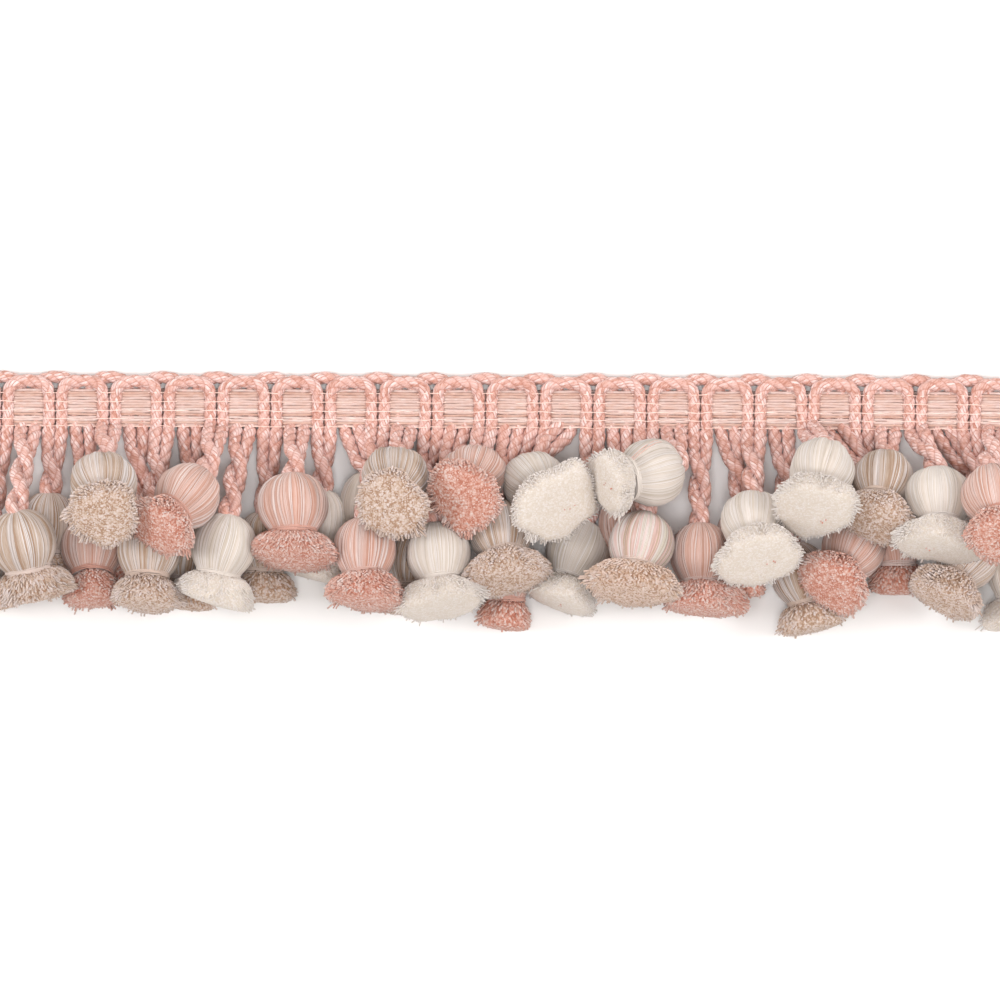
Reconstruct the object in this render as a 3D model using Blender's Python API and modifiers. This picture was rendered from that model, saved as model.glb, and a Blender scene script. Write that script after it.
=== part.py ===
"""A cut length of tassel fringe trim, laid on a flat surface.

The heading is woven: a warp tape runs along the trim, and two weft cords cross it. The front cord stands in
front of the tape in close pairs of legs, the rear cord behind it, and the tape waves between the two. Each cord
arches over the heading's top edge and drops a doubled loop below its bottom edge. One tassel hangs on each loop:
a ball of drawn yarn, a bound neck and a flared brush of cut pile. The tassels lie heaped in about two layers.

Frame: +X along the trim, +Y from the tassels towards the heading, +Z up from the surface that it lies on.
The origin is on the tape's flat back, at the middle of the heading. Lengths below are in millimetres.
"""

import math
from collections import namedtuple

import bmesh
import bpy
import numpy as np

MM = 0.001
GAP = 0.3  # clearance between neighbouring solids

# Heading
REPEATS = 20
PITCH = 12.9  # one window and one pair of front legs
TAPE_HALF = 4.2  # half of the tape's width, across the trim
TAPE_THICK = 0.8
WINDOW_Z = 3.2  # middle of the tape's thickness where it passes over the rear cord
PAIR_Z = TAPE_THICK / 2  # and where it passes under the front cord, on the surface
WINDOW_FLAT = 2.45  # from a window's middle to the end of its flat stretch
PAIR_FLAT = 3.95  # from a window's middle to the start of the next pair's flat stretch

# Cords
CORD_R = 1.1
FRONT_LEG_X = 4.92  # from a window's middle
REAR_LEG_X = 1.35
TAIL_Y = -6.0  # where the cut ends of the front cord stop

# Loops: a cord's two runs are drawn together there
RUN_R = 0.8
RUN_HALF = 0.95  # half of the spacing of the two runs
LOOP_R = RUN_HALF + RUN_R
LOOP_STEPS = 5
LOOP_GAP = 0.72  # between a loop's end and the top of its tassel

# An arch's points from its first leg to its last: x as a share of the leg's distance, then y and z.
ARCH = namedtuple("ARCH", "leg_x points")
FRONT_ARCH = ARCH(FRONT_LEG_X, ((-1, 3.2, 2.4), (-0.85, 5.3, 3.8), (-0.42, 6.3, 4.0),
                                (0.42, 6.3, 4.0), (0.85, 5.3, 3.8), (1, 3.2, 2.4)))
REAR_ARCH = ARCH(PITCH / 2 - REAR_LEG_X, ((-1, 4.0, 1.4), (-0.82, 5.9, 1.15), (-0.38, 7.5, 1.15),
                                          (0.38, 7.5, 1.15), (0.82, 5.9, 1.15), (1, 4.0, 1.4)))
FRONT_Z = 2.4
REAR_Z = 1.4

# A tassel's lathe profile, from its top to its pile: distance along the axis from the ball's middle, and radius
# as a share of the ball's or the brush's.
SEGMENTS = 8
START = math.pi / SEGMENTS  # the lathe's first corner, so that a facet and not a corner faces down
BALL_PROFILE = ((-7.0, 0.28), (-5.0, 0.7), (-0.6, 1.0), (4.0, 0.82))
BRUSH_PROFILE = ((7.2, 0.5), (9.6, 0.93), (12.2, 1.0), (14.6, 0.76))
POLE = 7.0
FIRM = 0.9  # the yarn is soft, and a solid holds this much of a tassel's radius
PRESS = 0.25  # how far a tassel's foot is pressed flat by the surface

# Balls that fill a tassel, for settling the heap: distance along the axis, the ring that they stand on as a share
# of the brush's radius less an inset, how many, and their radius.
FILL = namedtuple("FILL", "along share inset count radius")
BRUSH_FILL = (FILL(12.0, 1.0, 2.3, 16, 2.5), FILL(11.0, 0.5, 0.0, 8, 3.2), FILL(11.0, 0.0, 0.0, 1, 3.2),
              FILL(6.2, 0.0, 0.0, 1, 4.6))

# Settling
SIDE_GIVE = (1.0, 0.6, 0.3)  # how freely a tassel of each layer is pushed sideways
RAIL = namedtuple("RAIL", "y z radius")(-1.6, 2.6, 2.6)  # balls that stand for the heading
ROUNDS = 8
LAST_ROUNDS = 2
ROUND_STEPS = 60
NEAR = 5.0  # how far apart two balls can be and still meet within a round
PUSH = 0.55  # share of an overlap that a step undoes on each side
LAYER_HEIGHT = 9.0  # between the layers as they are first laid
PULL = 0.06  # share of the way back to its own place that a tassel moves in a step
SINK = 0.10  # how far everything sinks in a step
SMOOTH = 0.4  # how much a loop straightens in a step
LEAST_EASE = 0.1

# One row for each loop from left to right, with the tassel that hangs on it. layer is 0 for the tassels that were
# laid first, and x, y is the middle of the ball. aim is the way that the brush points, in degrees from +X, and
# lift its angle above the surface. ball and brush are radii.
TASSEL = namedtuple("TASSEL", "layer x y aim lift ball brush yarn")
TASSELS = (
    TASSEL(1, -123.0, -32.0, -95, 8, 7.6, 9.0, "cream"),
    TASSEL(0, -116.5, -34.0, -90, 0, 6.6, 8.0, "sand"),
    TASSEL(1, -108.1, -32.2, -78, -6, 8.1, 9.6, "sand"),
    TASSEL(0, -101.0, -30.5, -95, 0, 6.6, 8.0, "sand"),
    TASSEL(1, -95.0, -33.7, -87, 24, 7.4, 7.2, "rose"),
    TASSEL(2, -90.0, -18.2, -86, 54, 8.1, 9.0, "sand"),
    TASSEL(0, -84.5, -24.5, -90, -6, 6.4, 7.5, "rose"),
    TASSEL(1, -81.6, -33.8, -93, 14, 7.7, 8.2, "sand"),
    TASSEL(0, -71.5, -33.5, -97, 0, 6.4, 7.5, "sand"),
    TASSEL(2, -71.2, -21.7, -132, 36, 7.8, 8.5, "rose"),
    TASSEL(1, -63.4, -33.2, -100, 2, 7.8, 9.6, "cream"),
    TASSEL(0, -48.2, -32.0, -91, 4, 6.8, 7.6, "sand"),
    TASSEL(2, -45.7, -23.3, -90, 12, 8.4, 9.8, "rose"),
    TASSEL(0, -36.4, -26.4, -96, 0, 6.8, 7.6, "cream"),
    TASSEL(0, -29.5, -21.5, -92, -6, 6.2, 7.0, "cream"),
    TASSEL(1, -27.1, -33.9, -88, 18, 7.6, 10.0, "rose"),
    TASSEL(2, -21.8, -16.8, -98, 58, 7.8, 8.8, "sand"),
    TASSEL(0, -18.3, -34.5, -96, 0, 6.4, 7.6, "sand"),
    TASSEL(1, -11.5, -33.0, -84, 18, 7.6, 10.0, "cream"),
    TASSEL(2, -2.3, -16.9, -112, 64, 7.8, 9.2, "rose"),
    TASSEL(1, 4.8, -30.6, -80, 28, 7.6, 10.0, "sand"),
    TASSEL(0, 5.8, -35.5, -93, 0, 6.4, 7.0, "rose"),
    TASSEL(2, 11.7, -17.9, -45, 56, 7.8, 10.4, "cream"),
    TASSEL(1, 21.6, -32.7, -110, 10, 7.7, 9.4, "cream"),
    TASSEL(0, 30.2, -27.5, -86, -4, 6.4, 7.2, "rose"),
    TASSEL(1, 38.2, -32.0, -102, 24, 7.8, 10.6, "mixed"),
    TASSEL(2, 39.2, -16.7, -166, 28, 7.9, 8.0, "cream"),
    TASSEL(1, 52.2, -32.8, -88, 8, 7.2, 10.0, "rose"),
    TASSEL(0, 60.0, -33.0, -94, -3, 6.4, 7.2, "rose"),
    TASSEL(2, 64.3, -27.0, -86, 45, 7.9, 10.2, "cream"),
    TASSEL(0, 78.3, -40.8, -75, 2, 6.8, 8.4, "sand"),
    TASSEL(2, 80.8, -14.2, -103, 42, 7.8, 10.4, "cream"),
    TASSEL(0, 92.1, -30.9, -90, 0, 6.2, 6.8, "rose"),
    TASSEL(1, 90.7, -31.3, -122, 34, 7.4, 9.2, "rose"),
    TASSEL(1, 95.0, -18.2, -103, 40, 7.6, 9.0, "sand"),
    TASSEL(2, 107.9, -21.0, -90, 25, 8.1, 10.8, "cream"),
    TASSEL(0, 118.0, -35.2, -90, 0, 6.4, 7.6, "cream"),
    TASSEL(1, 116.8, -34.7, -122, 24, 7.4, 9.8, "sand"),
    TASSEL(2, 119.9, -20.5, -77, 38, 7.8, 9.0, "rose"),
)

# Dyed yarns: sRGB colour.
YARNS = {"cream": (0.93, 0.90, 0.84), "sand": (0.84, 0.76, 0.65), "rose": (0.89, 0.63, 0.55),
         "mixed": (0.88, 0.78, 0.70), "blush": (0.90, 0.68, 0.60), "blush_warp": (0.92, 0.73, 0.66)}


def clear_scene():
    for obj in list(bpy.data.objects):
        bpy.data.objects.remove(obj)


def yarn_material(name):
    """A matt dyed yarn."""
    material = bpy.data.materials.get(name)
    if material is None:
        material = bpy.data.materials.new(name)
        material.use_nodes = True
        shader = material.node_tree.nodes["Principled BSDF"]
        linear = [((c + 0.055) / 1.055) ** 2.4 for c in YARNS[name]]
        shader.inputs["Base Color"].default_value = (*linear, 1)
        shader.inputs["Roughness"].default_value = 0.85
        shader.inputs["Metallic"].default_value = 0
    return material


def add_object(name, data, yarn):
    obj = bpy.data.objects.new(name, data)
    bpy.data.collections["tassel_fringe_trim"].objects.link(obj)
    data.materials.append(yarn_material(yarn))
    return obj


# ---------------------------------------------------------------- tape

def window_x(k):
    """The middle of window k, counted from the left."""
    return (k - (REPEATS - 1) / 2) * PITCH


def make_tape():
    """A ribbon that waves over the rear cord at each window and under the front cord at each pair."""
    half = REPEATS * PITCH / 2
    line = [(-half, PAIR_Z)]
    for k in range(REPEATS):
        x = window_x(k)
        line += [(x - PAIR_FLAT, PAIR_Z), (x - WINDOW_FLAT, WINDOW_Z),
                 (x + WINDOW_FLAT, WINDOW_Z), (x + PAIR_FLAT, PAIR_Z)]
    line.append((half, PAIR_Z))
    mesh = bpy.data.meshes.new("tape")
    bm = bmesh.new()
    row = [bm.verts.new((x * MM, -TAPE_HALF * MM, z * MM)) for x, z in line]
    edges = [bm.edges.new(pair) for pair in zip(row, row[1:])]
    made = bmesh.ops.extrude_edge_only(bm, edges=edges)["geom"]
    far_row = [v for v in made if isinstance(v, bmesh.types.BMVert)]
    bmesh.ops.translate(bm, verts=far_row, vec=(0, 2 * TAPE_HALF * MM, 0))
    bmesh.ops.recalc_face_normals(bm, faces=bm.faces)
    bm.to_mesh(mesh)
    bm.free()
    tape = add_object("tape", mesh, "blush_warp")
    solidify = tape.modifiers.new("thickness", "SOLIDIFY")
    solidify.thickness = TAPE_THICK * MM
    solidify.offset = 0
    solidify.use_even_offset = True


# ---------------------------------------------------------------- settling the tassels and loops

def axes_of(tassel):
    """The tassel's axis from ball to brush, and two directions across it, the first one level."""
    aim, lift = math.radians(tassel.aim), math.radians(tassel.lift)
    axis = np.array((math.cos(aim) * math.cos(lift), math.sin(aim) * math.cos(lift), math.sin(lift)))
    level = np.array((-math.sin(aim), math.cos(aim), 0.0))
    return axis, level, np.cross(axis, level)


def profile_of(tassel):
    """(distance along the axis, radius) from the top of the ball to the face of the brush."""
    return ([(a, share * tassel.ball * FIRM) for a, share in BALL_PROFILE]
            + [(a, share * tassel.brush * FIRM) for a, share in BRUSH_PROFILE])


def ring(axes, along, radius, count):
    """Points evenly round the axis, relative to the ball's middle, from the lathe's first corner on."""
    axis, level, upright = axes
    turn = START + 2 * math.pi * np.arange(count) / count
    return along * axis + radius * (np.cos(turn)[:, None] * level + np.sin(turn)[:, None] * upright)


def fill_balls(tassel):
    """The balls that fill the tassel, relative to the middle of its ball: centres and radii."""
    axes = axes_of(tassel)
    centres, radii = [np.zeros((1, 3))], [np.array([tassel.ball * FIRM])]
    for f in BRUSH_FILL:
        centres.append(ring(axes, f.along, max(0.0, f.share * tassel.brush * FIRM - f.inset), f.count))
        radii.append(np.full(f.count, f.radius))
    return np.concatenate(centres), np.concatenate(radii)


def loop_start(number):
    """Where loop number, counted from the left, leaves the heading."""
    x = (number - (len(TASSELS) - 1) / 2) * PITCH / 2
    return np.array((x, -TAPE_HALF - RUN_R, FRONT_Z if number % 2 else REAR_Z))


def loop_end(tassel, middle):
    """Just short of the top of the tassel's ball."""
    return middle - (POLE + RUN_R + LOOP_GAP) * axes_of(tassel)[0]


def lowest_of(tassel):
    """How far the tassel reaches below the middle of its ball."""
    rings = [ring(axes_of(tassel), along, radius, SEGMENTS) for along, radius in profile_of(tassel)]
    return -np.concatenate(rings)[:, 2].min()


class Heap:
    """The tassels and their loops, as bodies filled with balls that settle until none overlap.

    places holds each body's middle: the tassels, then the beads of every loop, and last the heading, which stays
    still. A ball stands at an offset from one body, or midway between two beads.
    """

    def __init__(self):
        count = len(TASSELS)
        self.wanted = np.array([(t.x, t.y, 0) for t in TASSELS], float)
        self.floors = np.array([lowest_of(t) - PRESS for t in TASSELS])
        tassels = self.wanted + [(0, 0, floor + t.layer * LAYER_HEIGHT) for floor, t in zip(self.floors, TASSELS)]
        share = np.linspace(0, 1, LOOP_STEPS + 1)[:, None]
        loops = [(1 - share) * loop_start(i) + share * loop_end(t, tassels[i]) for i, t in enumerate(TASSELS)]
        self.places = np.concatenate([tassels, *loops, np.zeros((1, 3))])
        self.heading = len(self.places) - 1
        self.beads = np.arange(count, self.heading).reshape(count, -1)
        self.give = np.ones((len(self.places), 3))
        self.give[:count, :2] = [[SIDE_GIVE[t.layer]] for t in TASSELS]
        self.add_balls(count)

    def add_balls(self, count):
        """Each ball's offset, radius and two bodies, the strand that it is part of, and one that it may touch."""
        filled = [fill_balls(t) for t in TASSELS]
        rail_x = np.arange(-REPEATS * PITCH / 2, REPEATS * PITCH / 2, RAIL.radius)
        rail = np.stack([rail_x, np.full_like(rail_x, RAIL.y), np.full_like(rail_x, RAIL.z)], axis=1)
        tassel = np.concatenate([np.full(len(c), i) for i, (c, _) in enumerate(filled)])
        bead, link = self.beads[:, 1:].ravel(), self.beads[:, :-1].ravel()
        rail_body = np.full(len(rail), self.heading)
        self.one = np.concatenate([tassel, bead, bead, rail_body])
        self.two = np.concatenate([tassel, bead, link, rail_body])
        self.offsets = np.concatenate([c for c, _ in filled] + [np.zeros((2 * len(bead), 3)), rail])
        self.radii = np.concatenate([r for _, r in filled]
                                    + [np.full(2 * len(bead), LOOP_R), np.full(len(rail), RAIL.radius)])
        loop = np.repeat(np.arange(count), LOOP_STEPS)
        step = np.tile(np.arange(LOOP_STEPS), count)
        self.strand = np.concatenate([tassel, count + loop, count + loop, rail_body])
        link_touches = np.where(step == 0, self.heading, count + loop)
        bead_touches = np.where(step == LOOP_STEPS - 1, loop, link_touches)
        self.may_touch = np.concatenate([tassel, bead_touches, link_touches, rail_body])

    def centres(self):
        return self.offsets + (self.places[self.one] + self.places[self.two]) / 2

    def near_pairs(self):
        """The pairs of balls that could meet in the coming round."""
        centres = self.centres()
        apart = np.linalg.norm(centres[:, None] - centres[None], axis=2)
        close = apart < self.radii[:, None] + self.radii[None] + NEAR
        close &= self.strand[:, None] != self.strand[None]
        close &= self.may_touch[:, None] != self.strand[None]
        close &= self.strand[:, None] != self.may_touch[None]
        return np.nonzero(np.triu(close))

    def push_apart(self, pairs):
        """Each body moves by the mean of the pushes that it gets, deep ones counting for more."""
        a, b = pairs
        centres = self.centres()
        between = centres[a] - centres[b]
        apart = np.linalg.norm(between, axis=1)
        depth = np.maximum(self.radii[a] + self.radii[b] + GAP - apart, 0)
        push = between / np.maximum(apart, 1e-6)[:, None] * (PUSH * depth ** 2)[:, None]
        total, weight = np.zeros_like(self.places), np.full(len(self.places), 1e-9)
        for bodies, way in ((self.one[a], push), (self.two[a], push), (self.one[b], -push), (self.two[b], -push)):
            np.add.at(total, bodies, way)
            np.add.at(weight, bodies, depth)
        self.places += self.give * total / weight[:, None]

    def hold_ends(self):
        """Keeps everything above the surface, and each loop on its heading and its tassel."""
        count = len(TASSELS)
        height = self.places[:, 2]
        height[:count] = np.maximum(height[:count], self.floors)
        height[count:self.heading] = np.maximum(height[count:self.heading], RUN_R)
        self.places[self.heading] = 0
        for i, tassel in enumerate(TASSELS):
            self.places[self.beads[i, 0]] = loop_start(i)
            self.places[self.beads[i, -1]] = loop_end(tassel, self.places[i])

    def settle(self):
        """Lets everything sink and spread until nothing overlaps, and returns the tassels' and the beads' places.

        The sinking and the pull of each tassel to its own place fade out, and the last rounds only push apart.
        """
        count = len(TASSELS)
        inner = self.beads[:, 1:-1]
        for number in range(ROUNDS):
            pairs = self.near_pairs()
            ease = max(0.0, 1 - number / (ROUNDS - LAST_ROUNDS))
            for _ in range(ROUND_STEPS):
                back = self.wanted[:, :2] - self.places[:count, :2]
                self.places[:count, :2] += ease * PULL * back
                self.places[:self.heading, 2] -= ease * SINK
                between = (self.places[self.beads[:, :-2]] + self.places[self.beads[:, 2:]]) / 2
                self.places[inner] += max(ease, LEAST_EASE) * SMOOTH * (between - self.places[inner])
                self.push_apart(pairs)
                self.hold_ends()
        return self.places[:count], self.places[self.beads]


def runs_beside(line, side):
    """The line moved level to one side, by side times half the spacing of a loop's runs."""
    along = np.gradient(line, axis=0)[:, :2]
    along /= np.maximum(np.linalg.norm(along, axis=1), 1e-9)[:, None]
    across = np.stack([-along[:, 1], along[:, 0], np.zeros(len(line))], axis=1)
    return line + side * RUN_HALF * across


# ---------------------------------------------------------------- tassels

def make_tassel(number, tassel, middle):
    """The profile turned about the tassel's axis, with its foot pressed flat on the surface."""
    axis, level, upright = axes_of(tassel)
    mesh = bpy.data.meshes.new(f"tassel_{number + 1:02d}")
    bm = bmesh.new()
    outwards = math.cos(START) * level + math.sin(START) * upright
    row = [bm.verts.new(middle + a * axis + r * outwards) for a, r in profile_of(tassel)]
    edges = [bm.edges.new(pair) for pair in zip(row, row[1:])]
    bmesh.ops.spin(bm, geom=row + edges, cent=middle, axis=axis, angle=2 * math.pi,
                   steps=SEGMENTS, use_merge=True)
    bmesh.ops.holes_fill(bm, edges=bm.edges)
    bmesh.ops.recalc_face_normals(bm, faces=bm.faces)
    for vert in bm.verts:
        vert.co.z = max(vert.co.z, 0)
        vert.co *= MM
    bm.to_mesh(mesh)
    bm.free()
    add_object(mesh.name, mesh, tassel.yarn)


# ---------------------------------------------------------------- cords

def arch_points(arch, middle_x):
    return [(middle_x + share * arch.leg_x, y, z, CORD_R) for share, y, z in arch.points]


def loop_points(line):
    """Down one run of the loop and back up the other."""
    down = runs_beside(line, -1)
    up = runs_beside(line, 1)
    return [(*p, RUN_R) for p in down] + [(*p, RUN_R) for p in up[::-1]]


def front_cord_points(lines):
    """Arch, loop, arch and so on, from one cut end to the other."""
    first, last = window_x(0) - FRONT_LEG_X, window_x(REPEATS - 1) + FRONT_LEG_X
    points = [(first, TAIL_Y, FRONT_Z, CORD_R)]
    for k in range(REPEATS):
        points += arch_points(FRONT_ARCH, window_x(k))
        if k < REPEATS - 1:
            points += loop_points(lines[2 * k + 1])
    return points + [(last, TAIL_Y, FRONT_Z, CORD_R)]


def rear_cord_points(lines):
    """Loop, arch, loop and so on. Both cut ends are at the heading's top edge."""
    first, last = window_x(0) - REAR_LEG_X, window_x(REPEATS - 1) + REAR_LEG_X
    points = [(first, TAPE_HALF, REAR_Z, CORD_R)]
    for k in range(REPEATS):
        points += loop_points(lines[2 * k])
        if k < REPEATS - 1:
            points += arch_points(REAR_ARCH, window_x(k) + PITCH / 2)
    return points + [(last, TAPE_HALF, REAR_Z, CORD_R)]


def make_cord(name, points, yarn):
    curve = bpy.data.curves.new(name, "CURVE")
    curve.dimensions = "3D"
    curve.bevel_depth = MM
    curve.bevel_resolution = 0
    curve.use_fill_caps = True
    spline = curve.splines.new("POLY")
    spline.points.add(len(points) - 1)
    for point, (x, y, z, radius) in zip(spline.points, points):
        point.co = (x * MM, y * MM, z * MM, 1)
        point.radius = radius
    add_object(name, curve, yarn)


def main():
    clear_scene()
    bpy.context.scene.collection.children.link(bpy.data.collections.new("tassel_fringe_trim"))
    middles, lines = Heap().settle()
    make_tape()
    make_cord("front_cord", front_cord_points(lines), "blush")
    make_cord("rear_cord", rear_cord_points(lines), "blush")
    for number, tassel in enumerate(TASSELS):
        make_tassel(number, tassel, middles[number])


main()
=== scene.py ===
"""The looks of a cut length of tassel fringe: a woven heading, plied cords and heaped yarn tassels.

Lengths are in millimetres, up to the last step that puts them into a mesh. +X runs along the trim, +Y from
the tassels to the heading, and +Z up from the surface that the trim lies on.
"""

import math
from collections import namedtuple

import bpy
import numpy as np
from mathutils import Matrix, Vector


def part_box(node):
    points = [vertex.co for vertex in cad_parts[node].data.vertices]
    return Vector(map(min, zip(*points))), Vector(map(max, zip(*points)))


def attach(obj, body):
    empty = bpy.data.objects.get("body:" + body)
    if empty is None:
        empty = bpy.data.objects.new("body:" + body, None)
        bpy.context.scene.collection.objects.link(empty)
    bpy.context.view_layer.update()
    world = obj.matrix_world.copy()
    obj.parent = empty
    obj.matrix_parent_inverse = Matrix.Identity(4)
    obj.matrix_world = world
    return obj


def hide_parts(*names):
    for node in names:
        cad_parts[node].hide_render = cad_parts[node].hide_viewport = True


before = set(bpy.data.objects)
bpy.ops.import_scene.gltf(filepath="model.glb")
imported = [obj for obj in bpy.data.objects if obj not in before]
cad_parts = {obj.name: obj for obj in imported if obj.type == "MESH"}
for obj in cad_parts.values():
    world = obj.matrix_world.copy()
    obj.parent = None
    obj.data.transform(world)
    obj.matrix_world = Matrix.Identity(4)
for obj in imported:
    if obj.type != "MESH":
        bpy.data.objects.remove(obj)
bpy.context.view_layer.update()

MM = 0.001
TAU = 2 * math.pi

# ---------------------------------------------------------------- sizes that the solids share

REPEATS = 20
PITCH = 12.9
TAPE_HALF = 4.2

# A tassel solid's lathe profile: along the axis from the ball's middle, and radius as a share of the ball's
# or the brush's. FIRM is the share of its full width that the solid has.
SOLID_SEGMENTS = 8
SOLID_BALL = ((-7.0, 0.28), (-5.0, 0.7), (-0.6, 1.0), (4.0, 0.82))
SOLID_BRUSH = ((7.2, 0.5), (9.6, 0.93), (12.2, 1.0), (14.6, 0.76))
FIRM = 0.9

# One row for each tassel, from left to right as the solids are numbered. show is 2 for a tassel that lies on
# top, 1 for one that shows in part and 0 for a hidden one. aim turns its axis, from ball to brush, round +Z,
# and lift tilts it up from level, both in degrees. ball and brush are radii.
TASSEL = namedtuple("TASSEL", "show aim lift ball brush yarn")
TASSELS = (
    TASSEL(1, -95, 8, 7.6, 9.0, "cream"),
    TASSEL(0, -90, 0, 6.6, 8.0, "sand"),
    TASSEL(1, -78, -6, 8.1, 9.6, "sand"),
    TASSEL(0, -95, 0, 6.6, 8.0, "sand"),
    TASSEL(1, -87, 24, 7.4, 7.2, "rose"),
    TASSEL(2, -86, 54, 8.1, 9.0, "sand"),
    TASSEL(0, -90, -6, 6.4, 7.5, "rose"),
    TASSEL(1, -93, 14, 7.7, 8.2, "sand"),
    TASSEL(0, -97, 0, 6.4, 7.5, "sand"),
    TASSEL(2, -132, 36, 7.8, 8.5, "rose"),
    TASSEL(1, -100, 2, 7.8, 9.6, "cream"),
    TASSEL(0, -91, 4, 6.8, 7.6, "sand"),
    TASSEL(2, -90, 12, 8.4, 9.8, "rose"),
    TASSEL(0, -96, 0, 6.8, 7.6, "cream"),
    TASSEL(0, -92, -6, 6.2, 7.0, "cream"),
    TASSEL(1, -88, 18, 7.6, 10.0, "rose"),
    TASSEL(2, -98, 58, 7.8, 8.8, "sand"),
    TASSEL(0, -96, 0, 6.4, 7.6, "sand"),
    TASSEL(1, -84, 18, 7.6, 10.0, "cream"),
    TASSEL(2, -112, 64, 7.8, 9.2, "rose"),
    TASSEL(1, -80, 28, 7.6, 10.0, "sand"),
    TASSEL(0, -93, 0, 6.4, 7.0, "rose"),
    TASSEL(2, -45, 56, 7.8, 10.4, "cream"),
    TASSEL(1, -110, 10, 7.7, 9.4, "cream"),
    TASSEL(0, -86, -4, 6.4, 7.2, "rose"),
    TASSEL(1, -102, 24, 7.8, 10.6, "mixed"),
    TASSEL(2, -166, 28, 7.9, 8.0, "cream"),
    TASSEL(1, -88, 8, 7.2, 10.0, "rose"),
    TASSEL(0, -94, -3, 6.4, 7.2, "rose"),
    TASSEL(2, -86, 45, 7.9, 10.2, "cream"),
    TASSEL(0, -75, 2, 6.8, 8.4, "sand"),
    TASSEL(2, -103, 42, 7.8, 10.4, "cream"),
    TASSEL(0, -90, 0, 6.2, 6.8, "rose"),
    TASSEL(1, -122, 34, 7.4, 9.2, "rose"),
    TASSEL(1, -103, 40, 7.6, 9.0, "sand"),
    TASSEL(2, -90, 25, 8.1, 10.8, "cream"),
    TASSEL(0, -90, 0, 6.4, 7.6, "cream"),
    TASSEL(1, -122, 24, 7.4, 9.8, "sand"),
    TASSEL(2, -77, 38, 7.8, 9.0, "rose"),
)

# ---------------------------------------------------------------- mesh making

# Below this height yarn is pressed by what lies on it
PRESS = 0.5

# Keeps the place across a strand, from 0 to 1, just short of the next strand's number
SHORT_OF_ONE = 0.999

# points is (n, 3). faces is a list of arrays with one row for each face, corners the list of their UVs, and
# finish the number of the piece's material.
PATCH = namedtuple("PATCH", "points faces corners finish")


def unit(vectors):
    """Each vector over its own length."""
    return vectors / np.maximum(np.linalg.norm(vectors, axis=-1, keepdims=True), 1e-9)


def grid_faces(rows, columns, copies=1):
    """Quads of grids whose last column joins the first, with the row and the column of each corner."""
    i, j = np.meshgrid(np.arange(rows - 1), np.arange(columns), indexing="ij")
    row = np.stack([i, i, i + 1, i + 1], axis=-1).reshape(-1, 4)
    column = np.stack([j, j + 1, j + 1, j], axis=-1).reshape(-1, 4)
    faces = row * columns + column % columns
    starts = (np.arange(copies) * rows * columns)[:, None, None]
    return (faces + starts).reshape(-1, 4), row, column


def end_faces(rows, columns):
    """The two faces that close a grid's first row and its last."""
    near = np.arange(columns)[None, ::-1]
    return near, near[:, ::-1] + (rows - 1) * columns


def sweep(paths, radii, turn=0.0, lanes=1, first=0, finish=0):
    """Tubes along paths (k, n, 3). radii (k, n, sides) is the distance from the path at each side.

    Around the path the sides stand at even angles, turned by turn (n). The UV is the strand's number plus
    the place across it, from 0 to 1, times lanes, and the length along it in millimetres. Both ends are
    closed.
    """
    count, steps, _ = paths.shape
    sides = radii.shape[-1]
    along = unit(np.gradient(paths, axis=1))
    guide = np.array((0, 0, 1.0))
    if steps == 2:
        guide = np.stack([-along[..., 1], along[..., 2], along[..., 0]], axis=-1)
    across = unit(np.cross(guide, along))
    upright = np.cross(along, across)
    angle = TAU * np.arange(sides) / sides + np.broadcast_to(turn, (steps,))[:, None]
    out = (np.cos(angle)[None, ..., None] * across[:, :, None]
           + np.sin(angle)[None, ..., None] * upright[:, :, None])
    points = paths[:, :, None] + radii[..., None] * out
    faces, row, column = grid_faces(steps, sides, count)
    lengths = np.linalg.norm(np.diff(paths, axis=1), axis=2).cumsum(axis=1)
    lengths = np.concatenate([np.zeros((count, 1)), lengths], axis=1)
    number = (first + np.arange(count))[:, None, None]
    u = lanes * (number + column[None] / sides * SHORT_OF_ONE)
    v = lengths[:, row]
    starts = (np.arange(count) * steps * sides)[:, None]
    near, far = [end + starts for end in end_faces(steps, sides)]
    middle = np.broadcast_to(lanes * (number[..., 0] + 0.5), near.shape)
    cap_uv = [np.stack([middle, np.broadcast_to(end[:, None], near.shape)], axis=-1)
              for end in (lengths[:, 0], lengths[:, -1])]
    corner = np.stack([np.broadcast_to(u, v.shape), v], axis=-1).reshape(-1, 4, 2)
    return PATCH(points.reshape(-1, 3), [faces, near, far], [corner, *cap_uv], finish)


def lathe(radii, heights, axes, finish):
    """A surface turned about an axis: radii and heights are (rows, columns), and its two ends are closed.

    Its UV are all 0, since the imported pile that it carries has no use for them.
    """
    rows, columns = radii.shape
    axis, level, upright = axes
    angle = TAU * np.arange(columns) / columns
    out = np.cos(angle)[:, None] * level + np.sin(angle)[:, None] * upright
    points = heights[..., None] * axis + radii[..., None] * out
    faces = [grid_faces(rows, columns)[0], *end_faces(rows, columns)]
    return PATCH(points.reshape(-1, 3), faces, [np.zeros((*f.shape, 2)) for f in faces], finish)


def pressed(height):
    """Yarn gives where it lies on the surface: below PRESS its height falls off exponentially towards 0."""
    return np.where(height < PRESS, PRESS * np.exp(height / PRESS - 1), height)


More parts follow.
